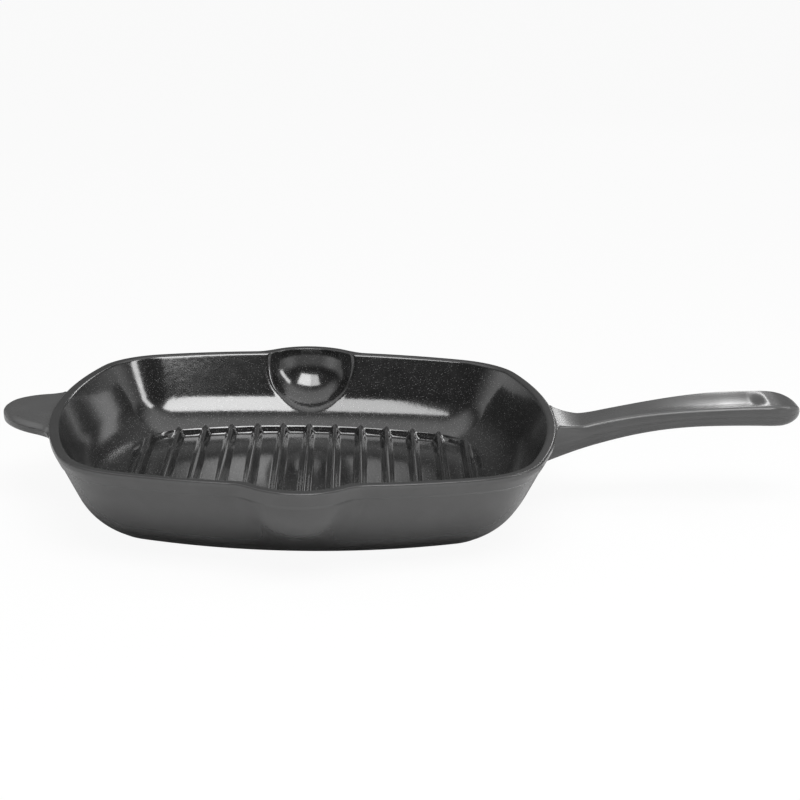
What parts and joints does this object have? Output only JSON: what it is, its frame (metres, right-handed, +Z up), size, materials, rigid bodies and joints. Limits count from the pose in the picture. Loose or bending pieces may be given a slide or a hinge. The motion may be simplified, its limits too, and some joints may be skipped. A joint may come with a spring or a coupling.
{
  "type": "square grill frying pan",
  "caption": "Square enamelled cast-iron grill pan with bowed sides, a banded rim, pour spouts, raised grill ribs, a long rising handle with a dished grip and a helper tab.",
  "frame": {"origin": "centre of the flat base, under the middle of the square rim", "axes": "+X along the long handle, away from the helper tab; +Y towards the far pour spout; +Z up"},
  "size_m": [0.4139, 0.286, 0.0561],
  "materials": {
    "satin_enamel": "dark grey satin enamel fired on cast iron",
    "black_enamel": "speckled black gloss enamel fired on cast iron"
  },
  "bodies": {
    "root": {"pan_body": "satin_enamel", "long_handle": "satin_enamel", "helper_tab": "satin_enamel", "grill_rib_01": "black_enamel", "grill_rib_02": "black_enamel", "grill_rib_03": "black_enamel", "grill_rib_04": "black_enamel", "grill_rib_05": "black_enamel", "grill_rib_06": "black_enamel", "grill_rib_07": "black_enamel", "grill_rib_08": "black_enamel", "grill_rib_09": "black_enamel", "grill_rib_10": "black_enamel", "grill_rib_11": "black_enamel", "grill_rib_12": "black_enamel", "grill_rib_13": "black_enamel"}
  },
  "joints": []
}
